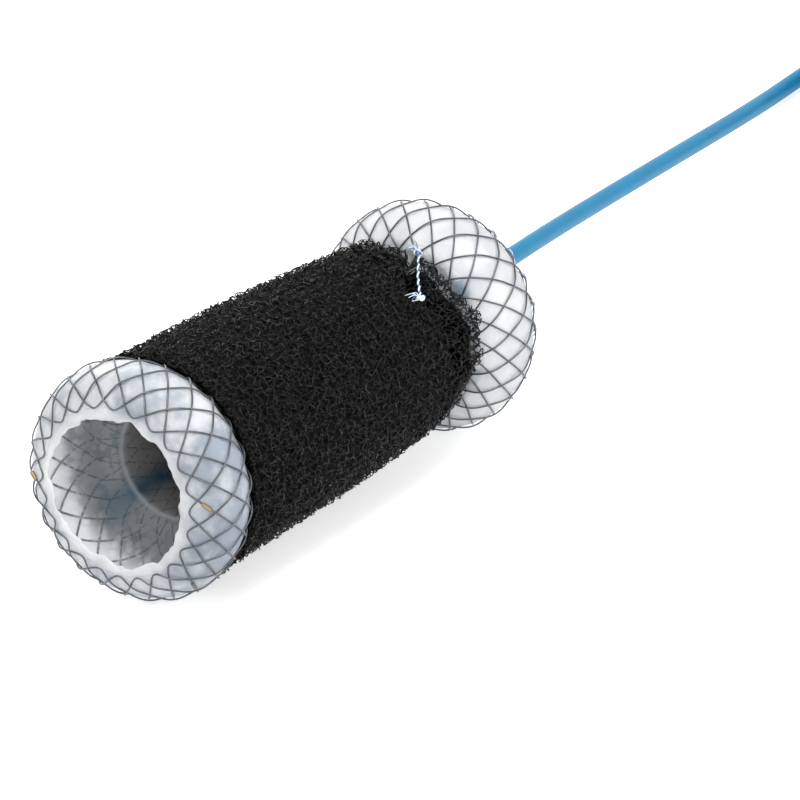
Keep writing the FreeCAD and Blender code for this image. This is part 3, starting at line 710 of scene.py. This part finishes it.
class STENT_OT_film(bpy.types.Operator):
    """Cover film from lip to lip, hung between the wires"""
    bl_idname = "stent.film"
    bl_label = "Cover film"

    def execute(self, context):
        sag = context.scene.stent_sizes.film_sag / MM
        columns = 216
        turn = np.arange(columns) * 360.0 / columns
        flare = np.concatenate([np.arange(0, 7.5, 0.125), np.arange(7.5, FLARE_RINGS, 0.0625)])
        waist = np.arange(FLARE_RINGS, RINGS - FLARE_RINGS + 0.01, 0.25)
        ring = np.concatenate([flare, waist, RINGS - flare[::-1]])
        rings, turns = np.meshgrid(ring, turn, indexing="ij")
        offset = turns - NEAR_PHASE - twist_at(rings)
        one, other = (np.sin(np.pi * (offset + hand * PITCH / 2 * rings) / PITCH) ** 2 for hand in (-1, 1))
        top = FILM_TOP - sag * np.sqrt(one * other)
        near_lip, far_lip = self.lip(turn, False), self.lip(turn, True)
        outer, inner = (
            np.concatenate([near_lip[side], skin(rings, turns, top - side * FILM_WALL)[0], far_lip[side]])
            for side in (0, 1))
        lips = len(near_lip[0])
        distance = np.minimum(ring, RINGS - ring)
        in_near, in_far = ring < RINGS / 2, ring > RINGS / 2
        near = eased((distance - 3.9) / 2.6) * in_near
        far = eased((distance - 6.2) / 0.8) * in_far

        def row_values(middle, first=0.0, last=0.0):
            """One value a row, from the near lip's rows to the far lip's."""
            return np.concatenate([np.broadcast_to(first, lips), middle, np.broadcast_to(last, lips)])

        def both_sides(out, back):
            return np.repeat(np.concatenate([out, back[::-1]]), columns)

        edge = np.linspace(1, 0.45, lips)
        marks = {
            # Foam behind the film: painted darker there, partly the foam showing through and partly painted
            # shade
            "behind": row_values(near + far),
            "lip": row_values(0.4 * (1 - eased(distance / 0.8)), edge, edge[::-1]),
            # The lumen, whose film is painted darker: partly the foam showing through, partly painted shade
            "waist": row_values(eased((distance - 7.7) / 0.25)),
            # A painted highlight along the ring where the film turns into the tube
            "throat_highlight": row_values(np.exp(-((distance - 7.8) / 0.09) ** 2)),
            "veil": row_values(eased((distance - 1.2) / 1.6) * in_near),
            # The far flare, whose film is painted a uniform pale grey for the light that shines through it
            "far": row_values((1 - far) * in_far, 0, 1),
        }
        attributes = {label: both_sides(values, values) for label, values in marks.items()}
        # Only the inner side shows the painted wire shadows
        showing = row_values(eased((distance - 0.4) / 0.6) * (1 - 0.5 * near))
        attributes["inner"] = both_sides(0 * showing, showing)
        # Shadow of the catheter's tip
        aside, position = turned_from(turn, math.degrees(PASS_TURN)), outer[..., 0]
        lengthwise = eased((position + 27.2) / 2.6) * (1 - eased((position + 19) / 5))
        blue = np.exp(-(aside / 12) ** 2) * lengthwise * 0.95
        attributes["blue"] = np.concatenate([blue, blue[::-1]])
        shape = np.concatenate([outer, inner[::-1]]), grid_faces(2 * len(outer), columns, wrap_rows=True)
        piece = mesh_piece("stretched_film", shape, "milky_film", "cover_film", attributes)
        row_ring = row_values(ring, -0.5, RINGS + 0.5)
        self.braid_map(piece.data, np.concatenate([row_ring, row_ring[::-1]]), columns)
        return {"FINISHED"}

    def braid_map(self, mesh, row_ring, columns):
        """Two coordinates that are whole numbers along the wires of either hand.

        Each is the turn over the pitch, less or plus half the ring.
        """
        loops = np.empty(len(mesh.loops), np.int32)
        mesh.loops.foreach_get("vertex_index", loops)
        row, column = loops // columns, loops % columns
        wraps = (column.reshape(-1, 4) == 0).any(1) & (column.reshape(-1, 4) == columns - 1).any(1)
        column = np.where(np.repeat(wraps, 4) & (column == 0), columns, column)
        ring = row_ring[row]
        offset = (column * 360.0 / columns - NEAR_PHASE - twist_at(ring)) / PITCH
        values = np.stack([offset - ring / 2, offset + ring / 2], -1)
        mesh.uv_layers.new(name="braid").data.foreach_set("uv", values.astype(np.float32).ravel())

    def lip(self, turn, far):
        """Rows of film from the wavy lip to the crowns, evenly spaced by the section's angle."""
        rad = np.radians(turn)
        wave = np.sin(3 * rad + 1.2) + np.sin(7 * rad + 0.3)
        ripple = (0.2 * np.sin(11 * rad + (2.1 if far else 0.4)) + 0.15 * np.sin(17 * rad + 1.0)
                  + 0.08 * np.sin(29 * rad + 2 * np.sin(2 * rad)))
        radius = 9.2 + 0.15 * wave + 0.75 * ripple + 0.05 * np.sin(47 * rad + 2)
        radius = radius + 0.35 * np.maximum(np.cos(rad), 0) ** 2
        fold = 0.16 * np.sin(8 * rad + 0.7) + 0.12 * np.sin(13 * rad + 2.2)
        share = np.linspace(0, 0.93, 7)[:, None]
        side = -1.0 if far else 1.0
        rows = []
        for layer in (FILM_TOP, FILM_TOP - FILM_WALL):
            edge = np.arcsin(np.clip((radius - SECTION_RADIUS) / layer, -0.9, 0.9))
            angle = edge + (math.radians(CROWN_ANGLE) - edge) * share
            curl = 0.1 * (1 - share) ** 3 * (layer == FILM_TOP) + fold * (1 - share) ** 2
            x = SECTION - (layer - curl) * np.cos(angle)
            block = polar(side * (x - HALF), SECTION_RADIUS + (layer - curl) * np.sin(angle), turn)
            rows.append(block[::-1] if far else block)
        return rows


SEAT = SECTION + 0.2
SWELL = [(-26.6, 14.2), (-14.0, 14.05), (-2.0, 13.8), (7.5, 13.37), (13.0, 13.02), (17.0, 12.7),
         (20.4, 12.66), (23.0, 12.55), (24.8, 12.35)]


def seat_arc(first, last, far):
    """Points on an end's seat against a flare, between two angles of the flare's section in degrees."""
    rise = np.radians(np.linspace(first, last, 7))
    x = SECTION - HALF + SEAT * np.cos(rise)
    return [(-here if far else here, r) for here, r in zip(x, SECTION_RADIUS + SEAT * np.sin(rise))]


# Outline of the foam as x and radius: the near seat, a long swell and the far seat
FOAM_OUTLINE = np.array(seat_arc(12, 54, False) + SWELL + seat_arc(26, 0, True))
FOAM_STEPS = run_along(FOAM_OUTLINE)
FOAM_LENGTH = FOAM_STEPS[-1]
FOAM_AROUND = 62
NET_DEPTH = 1.1


def foam_surface(length, turn, depth):
    """Point of the foam: its outline at a length along it, turned about the axis and moved inwards."""
    def at(value):
        return np.stack([np.interp(value, FOAM_STEPS, FOAM_OUTLINE[:, k]) for k in (0, 1)], -1)

    def bell(middle, width):
        return np.exp(-(turned_from(turn, middle) / width) ** 2)

    here = (at(length - 0.5) + at(length) * 2 + at(length + 0.5)) / 4
    slope = unit(at(length + 0.6) - at(length - 0.6))
    x = here[..., 0] + slope[..., 1] * depth
    r = here[..., 1] - slope[..., 0] * depth
    # The thread draws a notch into the foam, from the far shoulder to the knot
    across = np.radians(turned_from(turn, 134 - 23 * np.clip((x - 15.2) / 8.4, 0, 1.15))) * r
    r = r - 1.7 * np.exp(-(across / 0.75) ** 2) * eased((x - 14.2) / 1.6)
    # Lumps left by the cut through the cells
    rad = np.radians(turn)
    r = r + 0.15 * np.sin(2.4 * x + 2 * np.sin(7 * rad)) * np.sin(36 * rad + 0.9 * x) * (r > 10.5)
    # Uneven far rim, which reaches the flare on one side only
    rim = eased((x - 17) / 6) * (r > 10.5)
    r = r + rim * (0.16 * np.sin(5 * rad + 1) + 0.14 * np.sin(9 * rad + 2.5) + 0.1 * np.sin(16 * rad) - 0.12)
    recess = 2.6 - 2.5 * bell(172, 24) + 2.0 * bell(235, 32) - 0.5 * bell(120, 12) + 0.25 * np.sin(13 * rad)
    return polar(x - recess * eased((x - 13) / 10), r, turn)


def jitter(numbers, *seeds):
    """Repeatable vectors for whole numbers; each part lies between -0.5 and 0.5."""
    return np.stack([hashed(numbers, seed) - 0.5 for seed in seeds], -1)


class STENT_OT_foam(bpy.types.Operator):
    """Foam sleeve: a net of struts over a core painted near black as the shade deep in the foam"""
    bl_idname = "stent.foam"
    bl_label = "Foam sleeve"

    def execute(self, context):
        core = self.core()
        self.net(context.scene.stent_sizes)
        return {"FINISHED"}

    def core(self):
        """Inside of the foam, coloured near black as painted shade deep in its pores: its outline moved 0.75
        mm inwards and closed by the bore.

        Sines roughen it, and near the far end it lies 1 to 4 mm deeper still.
        """
        columns, rows, bore_rows = 240, 110, 24
        turn = np.arange(columns) * 360.0 / columns
        lengths, turns = np.meshgrid(np.linspace(1.0, FOAM_LENGTH - 1.2, rows), turn, indexing="ij")
        rads = np.radians(turns)
        rough = 0.18 * np.sin(lengths * 4.1 + np.sin(rads * 21) * 2)
        rough *= np.sin(rads * 35 + np.sin(lengths * 1.7))
        retreat = eased((lengths - FOAM_LENGTH + 11) / 4)
        retreat *= 2.6 + 1.0 * np.sin(rads * 31) * np.sin(lengths * 2.6) + 0.6 * np.sin(rads * 18 + 2)
        outer = foam_surface(lengths, turns, 0.75 + rough + retreat)
        bore = polar(np.linspace(22.8, -22.8, bore_rows)[:, None], 8.0, turn)
        shape = np.concatenate([outer, bore]), grid_faces(rows + bore_rows, columns, wrap_rows=True)
        return mesh_piece("foam_core", shape, "foam_depth_shade", "foam_sleeve")

    def net(self, sizes):
        """Open-pore net: the edges of truncated octahedra that fill space, jittered, bent round the sleeve.

        In a cell of side a the corners are the permutations of (0, 1/4, 1/2) a about the body-centred
        lattice's points; corners a quarter of a face's diagonal apart are joined by a strut.
        """
        a = sizes.foam_cell / MM
        along = int(FOAM_LENGTH / a)
        base = np.array([(0.5, 0.25, 0), (0.5, 0.75, 0), (0.25, 0.5, 0), (0.75, 0.5, 0),
                         (0, 0.5, 0.25), (0, 0.5, 0.75), (0, 0.25, 0.5), (0, 0.75, 0.5),
                         (0.5, 0, 0.25), (0.5, 0, 0.75), (0.25, 0, 0.5), (0.75, 0, 0.5)])
        cells = np.meshgrid(np.arange(FOAM_AROUND), np.arange(along), np.arange(2), indexing="ij")
        cells = np.stack(cells, -1).reshape(-1, 3)
        # Struts of one cell: pairs of its corners and its neighbours' corners that are nearest
        shifts = np.stack(np.meshgrid((-1, 0, 1), (-1, 0, 1), (-1, 0, 1), indexing="ij"), -1).reshape(-1, 3)
        pairs = []
        for shift in shifts:
            gap = np.linalg.norm(base[:, None] - (base[None] + shift), axis=-1)
            for first, second in np.argwhere(np.abs(gap - math.sqrt(2) / 4) < 1e-6):
                if (tuple(shift), second) > ((0, 0, 0), first):
                    pairs.append((first, second, *shift))
        pairs = np.array(pairs)
        first_cell = np.repeat(cells, len(pairs), 0)
        first, second = (np.tile(pairs[:, k], len(cells)) for k in (0, 1))
        second_cell = first_cell + np.tile(pairs[:, 2:], (len(cells), 1))
        ends = []
        for cell, corner in ((first_cell, first), (second_cell, second)):
            key = ((cell[:, 0] % FOAM_AROUND * 997 + cell[:, 1]) * 7 + cell[:, 2]) * 12 + corner
            ends.append(cell + base[corner] + jitter(key, 1, 2, 3) * 0.4)
        depths = np.stack([end[:, 2] for end in ends])
        kept = ((depths < NET_DEPTH / a) & (depths > -0.05)).all(0)
        bottom, top = (end[kept] for end in ends)
        thick = sizes.strut_radius / MM * (0.75 + 0.7 * hashed(np.arange(len(bottom)), 9))
        third = np.minimum((bottom[:, 1] + top[:, 1]) / 2 * 3 / along, 2.9).astype(int)
        for index, name in enumerate(("foam_net_near", "foam_net_middle", "foam_net_far")):
            chosen = third == index
            mesh_piece(name, self.struts(bottom[chosen], top[chosen], thick[chosen], a), "foam_strut",
                       "foam_sleeve")

    def struts(self, bottom, top, thick, a):
        """Three-sided struts between two rows of places, waisted in the middle and bent a little."""
        middle = (bottom + top) / 2 + jitter(np.arange(len(top)), 4, 5, 6) * 0.26
        path = np.stack([foam_surface(place[:, 1] * a, place[:, 0] * 360 / FOAM_AROUND, place[:, 2] * a)
                         for place in (bottom, middle, top)], 1)
        along = unit(path[:, 2] - path[:, 0])
        reference = np.where(np.abs(along[:, :1]) < 0.8, (-1.0, 0, 0), (0, -1.0, 0))
        across, rise = axes_across(along, reference)
        turn = full_turn(3)[None, :, None]
        ring = across[:, None] * np.cos(turn) + rise[:, None] * np.sin(turn)
        width = thick[:, None] * np.array([1.15, 0.85, 1.15])
        points = path[:, :, None] + ring[:, None] * width[:, :, None, None]
        faces = (np.arange(len(path)) * 9)[:, None, None] + grid_faces(3, 3)
        return points, faces.reshape(-1, 4)


class STENT_OT_catheter_inside(bpy.types.Operator):
    """Length of the catheter that the stent holds, with its closed tip"""
    bl_idname = "stent.catheter_inside"
    bl_label = "Catheter in the stent"

    def execute(self, context):
        """Tube along two straight lengths joined by a short parabola; its tip is half a ball."""
        radius = context.scene.stent_sizes.catheter_diameter / 2 / MM
        tip = polar(-24.0, 9.45, math.degrees(PASS_TURN))
        bend = np.array([28.8, PASS[0], PASS[1] + AXIS_HEIGHT])
        end = np.array(ROUTE[0]) / MM
        before, after = unit(bend - tip), unit(end - bend)
        reach = 12 * math.tan(math.acos(before @ after) / 2)
        entry, leave = bend - before * reach, bend + after * reach
        share = np.linspace(0, 1, 14)[:, None]
        curve = entry * (1 - share) ** 2 + 2 * bend * share * (1 - share) + leave * share ** 2
        cap = np.linspace(0, 1, 7)[:, None] ** 2 * radius
        straight = np.linspace(radius + 1, np.linalg.norm(entry - tip) - 0.5, 40)[:, None]
        last = np.linspace(0.4, np.linalg.norm(end - leave), 8)[:, None]
        path = np.concatenate([tip + before * cap, tip + before * straight, curve, leave + after * last])
        width = np.full(len(path), radius)
        width[:len(cap)] = radius * np.sqrt(1 - (1 - cap[:, 0] / radius) ** 2)
        tube = closed_tube(path, width, 28)
        mesh_piece("catheter_in_stent", tube, "blue_tube", "suction_catheter")
        return {"FINISHED"}


def two_ply(path, normals, radius, lay, pair=0):
    """One ply of a twisted thread: a helix about the path, half the thread's radius out, one turn per lay."""
    across, rise = axes_across(unit(np.gradient(path, axis=0)), normals)
    turn = (2 * math.pi * run_along(path) / lay + math.pi * pair)[:, None]
    return path + (across * np.cos(turn) + rise * np.sin(turn)) * radius * 0.5


def smooth_path(corners, count):
    """Points of a Catmull-Rom curve through the corners."""
    corners = np.asarray(corners, float)
    padded = np.concatenate([2 * corners[:1] - corners[1:2], corners, 2 * corners[-1:] - corners[-2:-1]])
    value = np.linspace(0, len(corners) - 1, count)
    index = np.minimum(value.astype(int), len(corners) - 2)
    t = (value - index)[:, None]
    a, b, c, d = (padded[index + k] for k in range(4))
    return 0.5 * (2 * b + (c - a) * t + (2 * a - 5 * b + 4 * c - d) * t ** 2
                  + (3 * b - a - 3 * c + d) * t ** 3)


class STENT_OT_threads(bpy.types.Operator):
    """Fixing thread with its knot and frayed ends, and the retrieval thread"""
    bl_idname = "stent.threads"
    bl_label = "Threads"

    def execute(self, context):
        self.fixing()
        self.retrieval()
        return {"FINISHED"}

    def fixing(self):
        """Two plies from the flare down the notch to a knot, whose loops and frayed ends lie on the foam."""
        stations = ((25.0, 11.6, 106), (23.6, 12.2, 109), (22.4, 12.2, 112.5), (18.9, 12.2, 124),
                    (16.0, 13.0, 133.5), (14.8, 13.5, 137))
        strand = smooth_path([polar(*station) for station in stations], 120)
        outward = unit((strand - (0, 0, AXIS_HEIGHT)) * (0, 1, 1))
        knot_at, rim_at = polar(14.6, 13.6, 137), polar(22.5, 12.5, 111.5)
        left, rise, out = np.array([(-0.923, 0.273, 0.273), (0.386, 0.653, 0.653), (0, -0.707, 0.707)])
        value = np.linspace(0, 2 * math.pi, 90)
        knot = np.stack([np.sin(value) + 2 * np.sin(2 * value), np.cos(value) - 2 * np.cos(2 * value),
                         -np.sin(3 * value)], -1) * 0.17
        white = [closed_tube(two_ply(strand, outward, 0.17, 1.6), 0.11, 8),
                 closed_tube(knot_at + knot, 0.14, 8)]
        blue = [closed_tube(two_ply(strand, outward, 0.15, 1.6, 1), 0.07, 8),
                closed_tube(knot_at - left * 0.35 + knot[:, [1, 2, 0]] * 0.7, 0.09, 8)]
        # Loose fibres: start, how far left, up and out they run, their bow and their thread
        fibres = [
            (knot_at, 2.4, 0.25, 0.1, 0.3, white), (knot_at, 2.1, -0.15, 0.25, 0.25, white),
            (knot_at, 1.7, -0.55, 0.1, -0.2, white), (knot_at, 1.2, 0.5, 0.3, 0.2, white),
            (knot_at, -0.9, 0.1, 0.1, 0.15, blue), (knot_at, 1.5, -0.3, 0.0, 0.3, blue),
            (rim_at, 1.6, 0.5, 0.3, 0.4, white), (rim_at, 0.9, 0.9, 0.5, -0.3, white),
            (rim_at, 2.0, 0.1, 0.2, 0.4, blue), (rim_at, 0.2, 1.5, 0.4, 0.3, blue),
            (rim_at, 1.3, -0.4, 0.4, 0.4, white), (rim_at, -0.5, 0.5, 0.2, 0.3, white)]
        for start, aside, up, lift, bow, thread in fibres:
            far_end = start + left * aside + rise * up + out * lift
            middle = (start + far_end) / 2 + rise * bow + out * 0.2
            path = smooth_path([start, middle, far_end], 20)
            thread.append(closed_tube(path, np.linspace(0.075, 0.045, 20), 5))
        loop = np.stack([np.cos(value), np.sin(value), 0.4 * np.sin(2 * value)], -1)
        white.append(closed_tube(rim_at + loop[:, [2, 0, 1]] * (0.3, 0.55, 0.4), 0.07, 6))
        blue.append(closed_tube(rim_at + loop[:, [1, 2, 0]] * (0.5, 0.4, 0.35), 0.06, 6))
        for colour, parts in (("white", white), ("blue", blue)):
            mesh_piece("fixing_thread_" + colour, join(parts), colour + "_thread", "fixing_thread")

    def retrieval(self):
        """Closed thread over the second crossings of the far flare.

        Between the crossings it dips to the film, nearer the mouth.
        """
        value = np.linspace(0, CROWNS, CROWNS * 16 + 1)[:-1]
        dip = np.sin(np.pi * value) ** 2
        path, outward = skin(RINGS - 1.85 + 0.35 * dip, FAR_PHASE + PITCH * value, SECTION + 0.1 - 0.36 * dip)
        for pair, look in enumerate(("white_thread", "blue_thread")):
            ply = closed_tube(two_ply(path, outward, 0.1, 1.45, pair), 0.055, 6, True, outward)
            mesh_piece("retrieval_" + look, ply, look, "retrieval_thread")


class STENT_OT_sleeves(bpy.types.Operator):
    """Marker sleeves on four wires, and the crimp that joins the wire's two ends"""
    bl_idname = "stent.sleeves"
    bl_label = "Marker sleeves and crimp"

    def execute(self, context):
        for name, crown, far in (
                ("marker_sleeve_near_left", 23, False), ("marker_sleeve_near_right", 11, False),
                ("marker_sleeve_far_left", 5, True), ("marker_sleeve_far_right", 17, True)):
            self.sleeve(name, crown, 1.25, far, 1.3, 0.27, "marker_metal", "marker")
        self.sleeve("wire_crimp", 14, 2.2, False, 1.9, 0.24, "oxide_wire", "stent_wire")
        return {"FINISHED"}

    def sleeve(self, name, crown, first, far, length, radius, look, slot):
        """Round sleeve along the wire, with softened ends; where it sits the wire is in the middle of it."""
        ring = np.linspace(first, first + 1.2, 80)
        wire = wire_path(crown, 1, RINGS - ring if far else ring)
        run = run_along(wire[0])
        value = np.linspace(0, length, 26)
        path, outward = (np.stack([np.interp(value, run, rows[:, k]) for k in range(3)], -1) for rows in wire)
        width = radius - 0.06 * (1 - eased(np.minimum(value, length - value) / 0.12))
        mesh_piece(name + "_tube", closed_tube(path, width, 20, False, outward), look, name)


def seen_by(tree, *kinds):
    """1 for the given kinds of ray and 0 for all others."""
    rays = add_node(tree, "LightPath").outputs
    seen = rays[kinds[0]]
    for kind in kinds[1:]:
        seen = maths(tree, "MAXIMUM", seen, rays[kind])
    return seen


class STENT_OT_stage(bpy.types.Operator):
    """Plain white floor and soft studio light"""
    bl_idname = "stent.stage"
    bl_label = "Stage"

    def execute(self, context):
        self.floor(context)
        self.world(context)
        for name, place, size, power in (
                ("key_light", (-0.35, -0.15, 0.75), 0.45, 5.2),
                ("fill_light", (-0.5, -0.7, 0.25), 0.7, 2.5),
                ("side_light", (0.45, -0.65, 0.3), 0.7, 1.4),
                ("back_light", (0.45, 0.55, 0.5), 0.5, 3.2)):
            data = bpy.data.lights.new(name, "AREA")
            data.size = size
            data.energy = power
            lamp = bpy.data.objects.new(name, data)
            lamp.location = place
            lamp.rotation_euler = (Vector((0, 0, 0.015)) - Vector(place)).to_track_quat("-Z", "Y").to_euler()
            context.scene.collection.objects.link(lamp)
        context.scene.view_settings.view_transform = "Standard"
        return {"FINISHED"}

    def floor(self, context):
        mesh = bpy.data.meshes.new("floor")
        corners = [(x * FLOOR_HALF, y * FLOOR_HALF, 0) for x, y in ((-1, -1), (1, -1), (1, 1), (-1, 1))]
        mesh.from_pydata(corners, [], [(0, 1, 2, 3)])
        floor_piece = bpy.data.objects.new("floor", mesh)
        look, tree, shader = new_material("floor_white")
        seen = seen_by(tree, "Is Camera Ray", "Is Glossy Ray", "Is Transmission Ray")
        feed(tree, shader, {
            "Base Color": (0.9, 0.9, 0.9), "Roughness": 1, "Specular IOR Level": 0,
            "Emission Color": (1, 1, 1), "Emission Strength": maths(tree, "MULTIPLY", seen, 0.6)})
        mesh.materials.append(look)
        context.scene.collection.objects.link(floor_piece)

    def world(self, context):
        world = bpy.data.worlds.new("studio")
        world.use_nodes = True
        context.scene.world = world
        tree = world.node_tree
        strength = spread_map(tree, seen_by(tree, "Is Camera Ray", "Is Glossy Ray"), 0, 1, 0.5, 1.0)
        feed(tree, tree.nodes["Background"], {"Color": (1, 1, 1), "Strength": strength})


PIECES = (STENT_OT_camera, STENT_OT_catheter_run, STENT_OT_coil_end, STENT_OT_braid, STENT_OT_film,
          STENT_OT_foam, STENT_OT_catheter_inside, STENT_OT_threads, STENT_OT_sleeves, STENT_OT_stage)


class STENT_PT_panel(bpy.types.Panel):
    """Sizes, colours and pieces of the stent"""
    bl_label = "Vacuum stent"
    bl_idname = "STENT_PT_panel"
    bl_space_type = "VIEW_3D"
    bl_region_type = "UI"
    bl_category = "Stent"

    def draw(self, context):
        layout = self.layout
        for group in (context.scene.stent_sizes, context.scene.stent_colours):
            box = layout.box()
            for name in group.bl_rna.properties.keys():
                if name not in ("rna_type", "name"):
                    box.prop(group, name)
        for piece in PIECES:
            layout.operator(piece.bl_idname)


CLASSES = (StentSizes, StentColours, *PIECES, STENT_PT_panel)


def register():
    for item in CLASSES:
        bpy.utils.register_class(item)
    bpy.types.Scene.stent_sizes = bpy.props.PointerProperty(type=StentSizes)
    bpy.types.Scene.stent_colours = bpy.props.PointerProperty(type=StentColours)


def unregister():
    del bpy.types.Scene.stent_colours
    del bpy.types.Scene.stent_sizes
    for item in reversed(CLASSES):
        bpy.utils.unregister_class(item)


def main():
    register()
    make_materials(bpy.context.scene.stent_colours)
    for piece in PIECES:
        group, call = piece.bl_idname.split(".")
        getattr(getattr(bpy.ops, group), call)()


if __name__ == "__main__":
    main()
